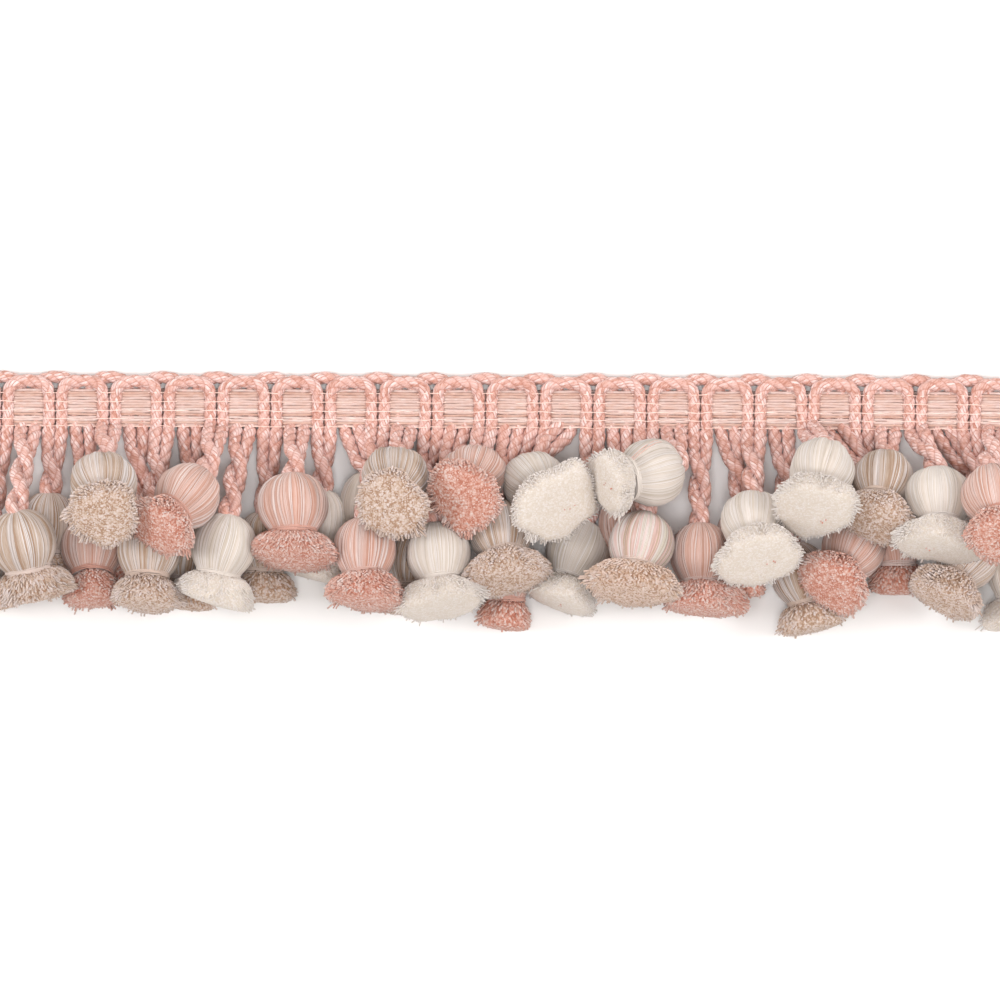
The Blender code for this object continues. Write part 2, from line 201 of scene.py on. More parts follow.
def add_piece(name, patches, materials, slot, *nodes):
    """Makes one mesh of the patches, in the place of the CAD nodes that it stands for."""
    starts = np.cumsum([0] + [len(p.points) for p in patches])
    faces = [f + start for p, start in zip(patches, starts) for f in p.faces]
    finishes = [np.full(len(f), p.finish) for p in patches for f in p.faces]
    sizes = np.concatenate([np.full(len(f), f.shape[1]) for f in faces])
    mesh = bpy.data.meshes.new(name)
    points = np.concatenate([p.points for p in patches])
    points[:, 2] = pressed(points[:, 2])
    points *= MM
    mesh.vertices.add(len(points))
    mesh.vertices.foreach_set("co", points.astype(np.float32).ravel())
    mesh.loops.add(int(sizes.sum()))
    mesh.loops.foreach_set("vertex_index", np.concatenate([f.ravel() for f in faces]).astype(np.int32))
    mesh.polygons.add(len(sizes))
    mesh.polygons.foreach_set("loop_start", (np.cumsum(sizes) - sizes).astype(np.int32))
    mesh.polygons.foreach_set("material_index", np.concatenate(finishes).astype(np.int32))
    mesh.polygons.foreach_set("use_smooth", (sizes == 4))
    mesh.update(calc_edges=True)
    uv = np.concatenate([c.reshape(-1, 2) for p in patches for c in p.corners])
    mesh.uv_layers.new(name="strand").data.foreach_set("uv", uv.astype(np.float32).ravel())
    for material in materials:
        mesh.materials.append(material)
    piece = bpy.data.objects.new(name, mesh)
    bpy.context.scene.collection.objects.link(piece)
    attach(piece, "root")
    if nodes:
        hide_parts(*nodes)
    return piece


def even_steps(points, step):
    """The same line with its points an even step apart."""
    lengths = np.concatenate([[0], np.linalg.norm(np.diff(points[:, :3], axis=0), axis=1).cumsum()])
    places = np.linspace(0, lengths[-1], max(2, int(lengths[-1] / step) + 1))
    return np.stack([np.interp(places, lengths, points[:, i]) for i in range(points.shape[1])], axis=1)


def smooth_line(points, times):
    """Rounds a line, times over: each inner point moves halfway to the middle of its two neighbours."""
    line = points.copy()
    for _ in range(times):
        line[1:-1] = (line[:-2] + 2 * line[1:-1] + line[2:]) / 4
    return line


def waver(where, wave, rng, count=1):
    """A slow swing from about -1 to 1 along where: three sines of random phase, a row for each of count."""
    phase = rng.uniform(0, TAU, (3, count, 1))
    waves = np.array((1.0, 0.61, 0.37))[:, None, None] * wave
    return (np.sin(TAU * where / waves + phase) * np.array((0.5, 0.3, 0.2))[:, None, None]).sum(axis=0)


# ---------------------------------------------------------------- materials

# Every strand, ply and pile end has a number of its own in its UV, and its shade comes from that number.
# These keep the numbers of a cord's plies, and the noise of neighbouring strands, well apart.
PLY_NUMBERS = 17.3
SLUB_NUMBERS = 7.31


def linear(hex_colour):
    """An sRGB hex colour as linear RGBA."""
    srgb = [int(hex_colour[i:i + 2], 16) / 255 for i in (1, 3, 5)]
    return (*[c / 12.92 if c <= 0.04045 else ((c + 0.055) / 1.055) ** 2.4 for c in srgb], 1.0)


def add_node(material, kind, settings=None, **links):
    """Adds a node. settings go to its properties or its inputs, by name or number, and links join inputs."""
    tree = material.node_tree
    node = tree.nodes.new(kind)
    for key, value in (settings or {}).items():
        if isinstance(key, str) and hasattr(node, key):
            setattr(node, key, value)
        else:
            node.inputs[key].default_value = value
    for key, source in links.items():
        tree.links.new(source, node.inputs[int(key[1:]) if key[1:].isdigit() else key.replace("_", " ")])
    return node


def dye_stops(ramp, dyes):
    """Spreads the dyes evenly over a colour ramp."""
    for i, dye in enumerate(dyes):
        stop = ramp.color_ramp.elements[i] if i < 2 else ramp.color_ramp.elements.new(1)
        stop.position = i / (len(dyes) - 1)
        stop.color = linear(dye)


def cotton(name, roughness, shine, bloom):
    """Cotton, still without its colour: loose fibre scatters the light, so it is matt with a soft bloom."""
    material = bpy.data.materials.new(name)
    material.use_nodes = True
    shader = material.node_tree.nodes["Principled BSDF"]
    shader.inputs["Roughness"].default_value = roughness
    shader.inputs["Specular IOR Level"].default_value = shine
    shader.inputs["Sheen Weight"].default_value = bloom
    shader.inputs["Sheen Roughness"].default_value = 0.5
    return material, shader


def yarn(name, dyes, groove, band=9.0, shares=(1.0, 0.5, 0.5, 0.5), fibre=0.6, fibres=8.0, aslant=None):
    """Dyed spun cotton yarn: matt, with a soft bloom of loose fibre, and each strand its own shade.

    dyes run from the deepest to the palest shade. groove is painted shade: the colour that the edges of a
    strand fade to, where shade falls between strands. shares says how much the shade changes: over bands of
    neighbouring strands, from strand to strand, with the fibres, and with the slubs along a strand. fibre is
    a fibre streak's length in millimetres, and fibres how many lie across a strand. A real fibre is 0.02 mm
    wide, too fine to show, so the streaks are drawn about ten times as wide. aslant is for plies that are
    twisted of strands: how many lie across a ply, and the millimetres along the cord in which the pattern
    moves on by one strand.
    """
    material, shader = cotton(name, 0.9, 0.2, 0.2)
    place = add_node(material, "ShaderNodeUVMap", {"uv_map": "strand"})
    split = add_node(material, "ShaderNodeSeparateXYZ", _0=place.outputs[0])
    strand = split.outputs[0]
    if aslant:
        moved = add_node(material, "ShaderNodeMath", {"operation": "DIVIDE", 1: aslant[1]},
                         _0=split.outputs[1])
        strand = add_node(material, "ShaderNodeMath", {"operation": "MULTIPLY_ADD", 1: aslant[0]},
                          _0=split.outputs[0], _2=moved.outputs[0]).outputs[0]
    across = add_node(material, "ShaderNodeMath", {"operation": "FRACT"}, _0=strand)
    ply = add_node(material, "ShaderNodeMath", {"operation": "FLOOR"}, _0=split.outputs[0])
    whole = add_node(material, "ShaderNodeMath", {"operation": "FLOOR"}, _0=strand)
    ply_apart = PLY_NUMBERS if aslant else 0.0
    number = add_node(material, "ShaderNodeMath", {"operation": "MULTIPLY_ADD", 1: ply_apart},
                      _0=ply.outputs[0], _2=whole.outputs[0])
    chance = add_node(material, "ShaderNodeTexWhiteNoise", {"noise_dimensions": "1D"}, _1=number.outputs[0])
    bands = add_node(material, "ShaderNodeTexNoise",
                     {"noise_dimensions": "1D", "Scale": 1 / band, "Detail": 1.0}, W=number.outputs[0])
    # Slubs: each strand grows slowly lighter and darker along its length
    shift = add_node(material, "ShaderNodeMath", {"operation": "MULTIPLY", 1: SLUB_NUMBERS},
                     _0=number.outputs[0])
    along = add_node(material, "ShaderNodeCombineXYZ", _0=shift.outputs[0], _1=split.outputs[1])
    slubs = add_node(material, "ShaderNodeTexNoise", {"Scale": 0.4, "Detail": 2.0}, Vector=along.outputs[0])
    # Fibres: fine streaks along the strand, which lean across it as they are spun
    stretch = add_node(material, "ShaderNodeMath", {"operation": "MULTIPLY", 1: fibres}, _0=strand)
    length = add_node(material, "ShaderNodeMath", {"operation": "DIVIDE", 1: fibre}, _0=split.outputs[1])
    leant = add_node(material, "ShaderNodeMath", {"operation": "ADD"}, _0=stretch.outputs[0],
                     _1=length.outputs[0])
    streak_place = add_node(material, "ShaderNodeCombineXYZ", _0=leant.outputs[0], _1=length.outputs[0])
    streaks = add_node(material, "ShaderNodeTexNoise", {"Scale": 1.0, "Detail": 2.0, "Roughness": 0.6},
                       Vector=streak_place.outputs[0])
    shade, middle = None, 0.5 - 0.5 * sum(shares)
    for source, share in zip((bands, chance, streaks, slubs), shares):
        settings = {"operation": "MULTIPLY_ADD", 1: share, 2: middle}
        links = {"_0": source.outputs["Value"] if source is chance else source.outputs[0]}
        if shade:
            links["_2"] = shade.outputs[0]
        shade = add_node(material, "ShaderNodeMath", settings, **links)
    ramp = add_node(material, "ShaderNodeValToRGB", _0=shade.outputs[0])
    dye_stops(ramp, dyes)
    # Grooves, painted shade: a strand's edges fade to the groove colour, where shade falls between strands,
    # some more than others
    centre = add_node(material, "ShaderNodeMath", {"operation": "PINGPONG", 1: 0.5}, _0=across.outputs[0])
    edge_shade = add_node(material, "ShaderNodeMapRange",
                    {"interpolation_type": "SMOOTHSTEP", "From Min": 0.0, "From Max": 0.24, "To Min": 1.0,
                     "To Max": 0.0}, Value=centre.outputs[0])
    nearest = add_node(material, "ShaderNodeMath", {"operation": "ROUND"}, _0=strand)
    boundary = add_node(material, "ShaderNodeMath", {"operation": "MULTIPLY_ADD", 1: ply_apart},
                        _0=ply.outputs[0], _2=nearest.outputs[0])
    gap = add_node(material, "ShaderNodeTexWhiteNoise", {"noise_dimensions": "1D"}, _1=boundary.outputs[0])
    gap_shade_depth = add_node(material, "ShaderNodeMapRange",
                         {"From Min": 0.45, "From Max": 0.95, "To Min": 0.25, "To Max": 1.0},
                         Value=gap.outputs["Value"])
    depth = add_node(material, "ShaderNodeMath", {"operation": "MULTIPLY"}, _0=edge_shade.outputs[0],
                     _1=gap_shade_depth.outputs[0])
    height = streaks
    if aslant:
        # Painted shade in the plies' own grooves, and the round top of each strand as a bump
        inward = add_node(material, "ShaderNodeMath", {"operation": "PINGPONG", 1: 0.5}, _0=split.outputs[0])
        ply_groove_shade = add_node(material, "ShaderNodeMapRange",
                            {"interpolation_type": "SMOOTHSTEP", "From Min": 0.0, "From Max": 0.16,
                             "To Min": 0.55, "To Max": 0.0}, Value=inward.outputs[0])
        depth = add_node(material, "ShaderNodeMath", {"operation": "MAXIMUM"}, _0=depth.outputs[0],
                         _1=ply_groove_shade.outputs[0])
        height = add_node(material, "ShaderNodeMath", {"operation": "MULTIPLY_ADD", 1: 2.5},
                          _0=centre.outputs[0], _2=streaks.outputs[0])
    # Painted shade: the dye's colour is mixed towards the groove colour by the depth
    colour = add_node(material, "ShaderNodeMix", {"data_type": "RGBA"}, _0=depth.outputs[0],
                      _6=ramp.outputs[0])
    colour.inputs[7].default_value = linear(groove)
    material.node_tree.links.new(colour.outputs[2], shader.inputs["Base Color"])
    bump = add_node(material, "ShaderNodeBump", {"Strength": 0.5, "Distance": 0.06 * MM},
                    Height=height.outputs[0])
    material.node_tree.links.new(bump.outputs[0], shader.inputs["Normal"])
    return material


def pile(name, dyes, root):
    """Cut pile, the ends of spun cotton yarn sheared even: very matt, each its own shade, and painted darker
    towards its root, where shade falls down among the ends.

    root is the colour of that painted shade. A real end is 0.3 mm wide, too fine to show, so the ends are
    made up to half a millimetre wide.
    """
    material, shader = cotton(name, 0.95, 0.15, 0.15)
    place = add_node(material, "ShaderNodeUVMap", {"uv_map": "strand"})
    split = add_node(material, "ShaderNodeSeparateXYZ", _0=place.outputs[0])
    number = add_node(material, "ShaderNodeMath", {"operation": "FLOOR"}, _0=split.outputs[0])
    chance = add_node(material, "ShaderNodeTexWhiteNoise", {"noise_dimensions": "1D"}, _1=number.outputs[0])
    ramp = add_node(material, "ShaderNodeValToRGB", _0=chance.outputs["Value"])
    dye_stops(ramp, dyes)
    # Painted shade: for the first part of its length an end fades to the root colour
    depth = add_node(material, "ShaderNodeMapRange",
                     {"From Min": 0.3 * PILE_LENGTH, "From Max": 0.85 * PILE_LENGTH, "To Min": 0.8,
                      "To Max": 0.0}, Value=split.outputs[1])
    colour = add_node(material, "ShaderNodeMix", {"data_type": "RGBA"}, _0=depth.outputs[0],
                      _6=ramp.outputs[0])
    colour.inputs[7].default_value = linear(root)
    material.node_tree.links.new(colour.outputs[2], shader.inputs["Base Color"])
    return material


def packed_pile(name, dyes, grain):
    """The same pile packed close, as it looks between the ends that stand proud: grains of every shade,
    each painted darker towards its edge, where shade falls in the hollows between grains.

    grain is the width in millimetres of one cut end, more than the real 0.3 mm so that it shows.
    """
    material, shader = cotton(name, 0.95, 0.15, 0.15)
    place = add_node(material, "ShaderNodeTexCoord")
    grains = add_node(material, "ShaderNodeTexVoronoi", {"Scale": 1 / (grain * MM), "Randomness": 1.0},
                      Vector=place.outputs["Object"])
    pick = add_node(material, "ShaderNodeSeparateColor", _0=grains.outputs["Color"])
    # Painted shade: each grain darkens towards its edge, in the hollows between grains
    hollow_shade = add_node(material, "ShaderNodeMath", {"operation": "MULTIPLY_ADD", 1: -0.9},
                      _0=grains.outputs["Distance"], _2=pick.outputs[0])
    lifted = add_node(material, "ShaderNodeMath", {"operation": "ADD", 1: 0.28}, _0=hollow_shade.outputs[0])
    ramp = add_node(material, "ShaderNodeValToRGB", _0=lifted.outputs[0])
    dye_stops(ramp, dyes)
    material.node_tree.links.new(ramp.outputs[0], shader.inputs["Base Color"])
    bump = add_node(material, "ShaderNodeBump", {"Strength": 0.6, "Distance": 0.2 * MM, "invert": True},
                    Height=grains.outputs["Distance"])
    material.node_tree.links.new(bump.outputs[0], shader.inputs["Normal"])
    return material


# ---------------------------------------------------------------- where the tassels are

# middle is the middle of the ball and axes its axis, a level direction and the one upright to both.
PLACE = namedtuple("PLACE", "middle axes")


def axes_of(tassel):
    """A tassel's axis, by the sines and cosines of its aim and lift, and two directions square to it."""
    aim = math.radians(tassel.aim)
    lift = math.radians(tassel.lift)
    axis = np.array((math.cos(aim) * math.cos(lift), math.sin(aim) * math.cos(lift), math.sin(lift)))
    level = np.array((-math.sin(aim), math.cos(aim), 0.0))
    return axis, level, np.cross(axis, level)


def place_of(number, tassel):
    """Where the solid's ball is: its box's high corner, less how far the profile reaches from the ball."""
    axis, level, upright = axes_of(tassel)
    turn = TAU * (np.arange(SOLID_SEGMENTS) + 0.5) / SOLID_SEGMENTS
    out = np.cos(turn)[:, None] * level + np.sin(turn)[:, None] * upright
    profile = ([(a, share * tassel.ball * FIRM) for a, share in SOLID_BALL]
               + [(a, share * tassel.brush * FIRM) for a, share in SOLID_BRUSH])
    reach = np.concatenate([a * axis + r * out for a, r in profile]).max(axis=0)
    high = np.array(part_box(f"tassel_{number + 1:02d}")[1]) / MM
    return PLACE(high - reach, (axis, level, upright))


PLACES = [place_of(number, tassel) for number, tassel in enumerate(TASSELS)]


# ---------------------------------------------------------------- heading

WINDOW_Z = 3.0  # the warp's height over the rear cord
PAIR_Z = 0.45  # and under each pair of front legs
WARPS = 14
WARP_R = 0.36
WARP_SIDES = 6
WARP_STEP = 0.85
BINDER_Y = (3.6, 1.45, -0.7, -2.65, -4.45)
BINDER_R = 0.13
BINDER_SIDES = 5
BINDER_STEP = 0.5
BINDER_HUMP = 0.95  # half the width of its rise over a leg
BINDER_OVER_WARP = 0.06
BINDER_OVER_LEG = 0.02
DIVE = (3.2, 5.0)  # how far from a window's middle the warp starts to go down, and is down
EDGE_DROP = 0.35  # how much lower the warp is at the heading's edges


def window_x(k):
    """Where the middle of window k is: they are a pitch apart, with the origin in the middle of them all."""
    return (k - (REPEATS - 1) / 2) * PITCH


def from_window(x):
    """How far x is from the middle of the nearest window."""
    return np.abs((x - window_x(0) + PITCH / 2) % PITCH - PITCH / 2)


def ease(value, low, high):
    """Goes smoothly from 0 at low to 1 at high."""
    share = np.clip((value - low) / (high - low), 0, 1)
    return share * share * (3 - 2 * share)


def make_warp(material):
    """Yarns side by side, which rise over the rear cord in each window and dive under the front cord's legs.

    The height is a smooth step between the two levels, plus a slow waver, and a little less at the edges.
    """
    rng = np.random.default_rng(11)
    half = REPEATS * PITCH / 2
    x = np.arange(-half, half, WARP_STEP)
    y = np.linspace(-TAPE_HALF, TAPE_HALF, WARPS)[:, None]
    rise = 1 - ease(from_window(x), *DIVE)
    height = PAIR_Z + (WINDOW_Z - PAIR_Z) * rise + 0.10 * waver(x, 9.0, rng, WARPS)
    height -= EDGE_DROP * ease(np.abs(y), TAPE_HALF - 1.0, TAPE_HALF + 0.2) * rise
    aside = y + 0.10 * waver(x, 14.0, rng, WARPS)
    paths = np.stack([np.broadcast_to(x, height.shape), aside, height], axis=-1)
    radius = WARP_R * rng.uniform(0.85, 1.15, (WARPS, 1)) * (1 + 0.08 * waver(x, 5.0, rng, WARPS))
    yarns = sweep(paths, np.repeat(radius[..., None], WARP_SIDES, axis=2))
    add_piece("warp_yarns", [yarns], [material], "blush_warp", "tape")


def make_binders(material):
    """Fine threads that lie on the warp in each window, and rise in a bell curve over each leg."""
    rng = np.random.default_rng(12)
    half = REPEATS * PITCH / 2
    x = np.arange(-half, half, BINDER_STEP)
    away = from_window(x)
    over_leg = np.exp(-((away - FRONT_LEG_X) / BINDER_HUMP) ** 2)
    height = WINDOW_Z + BINDER_OVER_WARP + over_leg * (FRONT_Z + CORD_R - WINDOW_Z + BINDER_OVER_LEG)
    y = np.array(BINDER_Y)[:, None] + 0.16 * waver(x, 11.0, rng, len(BINDER_Y))
    paths = np.stack([np.broadcast_to(x, y.shape), y, np.broadcast_to(height, y.shape)], axis=-1)
    radius = np.full((len(BINDER_Y), len(x), BINDER_SIDES), BINDER_R)
    add_piece("binder_threads", [sweep(paths, radius)], [material], "blush_warp")


# ---------------------------------------------------------------- cords

CORD_R = 1.58
CORD_LAY = 7.8  # the length of one turn of its plies
CORD_STEP = 0.58
PLIES = 3
PLY_SIDES = 7
PLY_GROOVE = 0.2  # how much closer to the cord's middle a groove is than a ply's top
PLY_POWER = 2.2
LAY_REACH = 6.0  # how far from the heading the lay has become that of the loops
LOOP_CORD_R = 1.65
LOOP_LAY = 9.0
LOOP_OUT = 1.42  # from a loop's middle line to each of its two runs
LOOP_STEP = 0.8
SQUEEZE = 0.12  # how much two runs that lie against each other press each other flat
SWELL = 0.2  # how much the cord opens out where it leaves the heading
PINCH = 0.07  # how much a binder draws in a front leg, as a share of its radius
PINCH_WIDTH = 0.5
FRONT_LEG_X = 4.92
REAR_LEG_X = 1.65
FRONT_Z = 2.6
REAR_Z = 1.5
FOOT_Y = -TAPE_HALF - 1.5  # where a cut end of the front cord is

# An arch's feet and top along Y, the height of its top, and how square it is: 2 is an ellipse
ARCH = namedtuple("ARCH", "foot_y top_y top_z square")
FRONT_ARCH = ARCH(2.3, 6.4, 3.3, 3.0)
REAR_ARCH = ARCH(3.0, 7.3, REAR_Z, 2.4)

# Along a loop from the heading, from where to where its cord opens out, its runs close up, they press each
# other flat and the cord thins. They wind round each other from somewhere in WIND_FROM on, one turn is
# somewhere in WIND_LENGTH long, and the bend is BEND past their ends.
OPEN_OUT = (0.0, 1.6)
CLOSE_UP = (1.5, 8.0)
FLATTEN = (2.0, 6.0)
THIN_DOWN = (3.0, 9.0)
WIND_FROM = (5.0, 8.5)
WIND_LENGTH = (14.0, 22.0)
BEND = 1.2

# How the loops are laid: beads along each, how thick they keep clear, and the shares of each round's moves
BEADS = 9
BEAD_R = 1.9
POLE = 7.6  # from a ball's middle to its pole
LOOP_INSET = 0.3  # how far past the heading's edge a loop starts, and short of the pole it ends
LOOP_RISE = 2.5  # how much higher than its start the curve's first guide is
SLACK = 0.4  # how far the curve's guides stand off, as a share of the loop's length
LAY_ROUNDS = 160
DRAW = 0.35
TASSEL_PUSH = 0.6
LOOP_PUSH = 0.4

# The balls that stand for a tassel while the loops are laid: one for its ball, one in the middle of its
# brush and some round the brush's rim. ALONG is how far along the axis they are.
CORE_ALONG = 11.2
CORE_R = 3.4
RIM_ALONG = 12.0
RIM_R = 2.5
RIM_IN = 2.4  # from the brush's own rim to their middles
RIM_BALLS = 8


def arch(leg_x, leg_z, form):
    """A rounded arch from its left leg to its right one: the upper half of a superellipse."""
    t = np.linspace(0, math.pi, 25)
    x = -leg_x * np.sign(np.cos(t)) * np.abs(np.cos(t)) ** (2 / form.square)
    rise = np.abs(np.sin(t)) ** (2 / form.square)
    y = form.foot_y + (form.top_y - form.foot_y) * rise
    return np.stack([x, y, leg_z + (form.top_z - leg_z) * rise], axis=1)


def tassel_balls():
    """Balls that fill each tassel: middles, radii and the tassel's number."""
    middles, radii, owner = [], [], []
    for number, (tassel, place) in enumerate(zip(TASSELS, PLACES)):
        axis, level, upright = place.axes
        turn = TAU * np.arange(RIM_BALLS)[:, None] / RIM_BALLS
        out = np.cos(turn) * level + np.sin(turn) * upright
        rim = place.middle + RIM_ALONG * axis + (tassel.brush - RIM_IN) * out
        middles += [place.middle[None], (place.middle + CORE_ALONG * axis)[None], rim]
        radii += [[tassel.ball], [CORE_R], [RIM_R] * RIM_BALLS]
        owner += [number] * (2 + RIM_BALLS)
    return np.concatenate(middles), np.concatenate(radii), np.array(owner)


def push_out(gap, apart, depth):
    """How the balls that a bead is in push it out: the mean of the ways out of them, weighted by depth."""
    total = (gap / np.maximum(apart, 1e-9)[..., None] * (depth ** 2)[..., None]).sum(axis=-2)
    return total / np.maximum(depth.sum(axis=-1), 1e-6)[..., None]


def lay_loops():
    """Each loop's middle line, as beads from the heading to its tassel's pole.

    The beads start on a cubic curve. They are then drawn straight and pushed out of the tassels and of each
    other's way, many times over, with both ends held.
    """
    count = len(TASSELS)
    top = -TAPE_HALF - LOOP_INSET
    start = np.array([((i - (count - 1) / 2) * PITCH / 2, top, FRONT_Z if i % 2 else REAR_Z)
                      for i in range(count)])
    axis = np.array([p.axes[0] for p in PLACES])
    end = np.array([p.middle for p in PLACES]) - (POLE - LOOP_INSET) * axis
    slack = SLACK * np.linalg.norm(end - start, axis=1)[:, None]
    first = start - (0, 1, 0) * slack + (0, 0, LOOP_RISE)
    second = end - slack * axis
    a, b, c, d = [guide[:, None] for guide in (start, first, second, end)]
    t = np.linspace(0, 1, BEADS)[None, :, None]
    beads = (1 - t) ** 3 * a + 3 * (1 - t) ** 2 * t * b + 3 * (1 - t) * t ** 2 * c + t ** 3 * d
    middles, radii, owner = tassel_balls()
    own = owner[None, None] == np.arange(count)[:, None, None]
    near_pole = (np.arange(BEADS) >= BEADS - 2)[None, :, None]
    loop = np.repeat(np.arange(count), BEADS)
    for _ in range(LAY_ROUNDS):
        beads[:, 1:-1] += DRAW * ((beads[:, :-2] + beads[:, 2:]) / 2 - beads[:, 1:-1])
        gap = beads[:, :, None] - middles
        apart = np.linalg.norm(gap, axis=-1)
        depth = np.where(own & near_pole, 0, np.maximum(radii + BEAD_R - apart, 0))
        push = push_out(gap, apart, depth)
        flat = beads.reshape(-1, 3)
        gap = flat[:, None] - flat
        apart = np.linalg.norm(gap, axis=-1)
        depth = np.where(loop[:, None] == loop, 0, np.maximum(2 * BEAD_R - apart, 0))
        aside = push_out(gap, apart, depth).reshape(beads.shape)
        beads[:, 1:-1] += (TASSEL_PUSH * push + LOOP_PUSH * aside)[:, 1:-1]
        beads[..., 2] = np.maximum(beads[..., 2], LOOP_CORD_R)
    return beads


def loop_runs(beads, leg_out, rng):
    """The loop's way down and its way up again: two runs that wind round the middle line, left-handed.

    They leave the heading as far apart as its legs are, close up, and then lie against each other. Each row
    is a point, its radius, and the squeeze times the cosine and the sine of twice the angle of its flat
    side, which faces the other run.
    """
    line = smooth_line(even_steps(beads, LOOP_STEP), 6)
    along = unit(np.gradient(line, axis=0))
    across = unit(np.cross(along, (0, 0, 1.0)))
    upright = np.cross(across, along)
    length = np.arange(len(line)) * LOOP_STEP
    out = LOOP_OUT + (leg_out - LOOP_OUT) * (1 - ease(length, *CLOSE_UP))
    turn = TAU * np.maximum(length - rng.uniform(*WIND_FROM), 0) / rng.uniform(*WIND_LENGTH)
    side = np.cos(turn)[:, None] * across + np.sin(turn)[:, None] * upright
    down = line + out[:, None] * side
    up = line - out[:, None] * side
    bend = line[-1:] + BEND * along[-1:]
    thinned = (CORD_R + SWELL - LOOP_CORD_R) * ease(length, *THIN_DOWN)
    radius = CORD_R + SWELL * ease(length, *OPEN_OUT) - thinned
    flat = SQUEEZE * ease(length, *FLATTEN)
    level = flat * np.cos(2 * turn)
    lean = flat * np.sin(2 * turn)
    columns = [np.concatenate([radius, radius[-1:], radius[::-1]]),
               np.concatenate([level, flat[-1:], level[::-1]]),
               np.concatenate([lean, 0 * flat[-1:], -lean[::-1]])]
    return np.concatenate([np.concatenate([down, bend, up[::-1]]), np.stack(columns, axis=1)], axis=1)


def in_heading(points):
    """The points with the heading's radius and no squeeze, in the same six columns as a loop's runs."""
    return np.concatenate([points, np.array((CORD_R, 0.0, 0.0)) + 0 * points], axis=1)


def cord_patch(stretches, rng):
    """A plied cord along the stretches' points: its outline is three round plies that wind right-handed.

    A ply's top is a full radius out, and its sides fall to the groove by a power of the way down to it.
    """
    line = even_steps(np.concatenate(stretches), CORD_STEP)
    line[:, :3] = smooth_line(line[:, :3], 3)
    line[:, 3:] = smooth_line(line[:, 3:], 6)
    radius = line[:, 3]
    away = from_window(line[:, 0])
    # Where a binder crosses a front leg it draws it in a little
    for y in BINDER_Y:
        over = (line[:, 2] > FRONT_Z - 0.4) * (away > 3.0)
        radius = radius * (1 - PINCH * np.exp(-((line[:, 1] - y) / PINCH_WIDTH) ** 2) * over)
    lay = CORD_LAY + (LOOP_LAY - CORD_LAY) * ease(-line[:, 1], TAPE_HALF, TAPE_HALF + LAY_REACH)
    turn = np.cumsum(TAU * CORD_STEP / lay)
    sides = np.arange(PLIES * PLY_SIDES)
    place = np.abs((sides / PLY_SIDES) % 1 - 0.5)
    outline = 1 - PLY_GROOVE * (2 * place) ** PLY_POWER
    swell = 1 + 0.04 * waver(np.arange(len(line)) * CORD_STEP, 6.0, rng)[0]
    angle = TAU * sides / len(sides) + turn[:, None]
    squeezed = line[:, 4:5] * np.cos(2 * angle) + line[:, 5:6] * np.sin(2 * angle)
    radii = (radius * swell)[:, None] * outline * (1 - squeezed)
    return sweep(line[None, :, :3], radii[None], turn=turn, lanes=PLIES)


def make_cords(material):
    """The front cord arches over each window, the rear cord behind each pair of front legs."""
    rng = np.random.default_rng(13)
    beads = lay_loops()
    front_arch = arch(FRONT_LEG_X, FRONT_Z, FRONT_ARCH)
    rear_arch = arch(PITCH / 2 - REAR_LEG_X, REAR_Z, REAR_ARCH)
    front = [in_heading(np.array([(window_x(0) - FRONT_LEG_X, FOOT_Y, FRONT_Z)]))]
    rear = [in_heading(np.array([(window_x(0) - REAR_LEG_X, TAPE_HALF, REAR_Z)]))]
    for k in range(REPEATS):
        front.append(in_heading(front_arch + (window_x(k), 0, 0)))
        rear.append(loop_runs(beads[2 * k], REAR_LEG_X, rng))
        if k < REPEATS - 1:
            front.append(loop_runs(beads[2 * k + 1], PITCH / 2 - FRONT_LEG_X, rng))
            rear.append(in_heading(rear_arch + (window_x(k) + PITCH / 2, 0, 0)))
    front.append(in_heading(np.array([(window_x(REPEATS - 1) + FRONT_LEG_X, FOOT_Y, FRONT_Z)])))
    rear.append(in_heading(np.array([(window_x(REPEATS - 1) + REAR_LEG_X, TAPE_HALF, REAR_Z)])))
    add_piece("front_cord_plied", [cord_patch(front, rng)], [material], "blush_cord", "front_cord")
    add_piece("rear_cord_plied", [cord_patch(rear, rng)], [material], "blush_cord", "rear_cord")


# ---------------------------------------------------------------- tassels

# How finely a tassel is made, by how much of it shows: strands round its ball, rows from pole to neck, and
# pile ends on a brush of the usual radius
DETAIL = namedtuple("DETAIL", "strands rows ends")
DETAILS = (DETAIL(72, 12, 500), DETAIL(104, 18, 1370), DETAIL(108, 20, 1640))
USUAL_BRUSH = 9.0

# Outlines as (along the axis from the ball's middle, share of the ball's or brush's radius)
BALL_LINE = ((-7.5, 0.06), (-7.5, 0.28), (-6.5, 0.56), (-4.6, 0.82), (-2.2, 0.96), (-0.3, 1.0), (1.8, 0.98),
             (3.5, 0.91), (4.9, 0.81), (6.0, 0.71), (6.9, 0.64))
BRUSH_LINE = ((6.9, 0.5), (7.4, 0.66), (8.1, 0.81), (9.1, 0.92), (10.3, 0.98), (11.6, 1.01), (12.8, 1.0),
              (13.7, 0.89), (14.2, 0.6), (14.4, 0.03))
FACE_ALONG = 14.4  # where the brush's face is
NECK_ALONG = 6.7
NECK_SHARE = 0.66  # of the ball's radius
STRAND_LIFT = 0.14
SHADE_STEP = 0.75  # how far the strands' numbers go on from one column of a ball's grid to the next
BALL_LENGTH = 16.0  # a strand's length from pole to neck
CORE_COLUMNS = 44
PILE_LENGTH = 1.7
PILE_ROOT = 5.5  # along the axis, where the pile's ends fan out from
PILE_R = 0.24
GRAIN = 0.62
FINE_PILE_R = 0.17  # these two are for a cream brush
FINE_GRAIN = 0.4
FRAY = 0.6  # how far the loose ends at the rim stand out from the pile
GOLDEN_ANGLE = 2.39996
BINDING_TURNS = 4
BINDING_R = 0.19
STRAY_END_R = 0.22
STRAY_STRAND_R = 0.16
STRAY_BALL = 26  # a cream ball on which rose strands lie, at these turns from its level side
STRAY_TURNS = (2.5, 2.62)

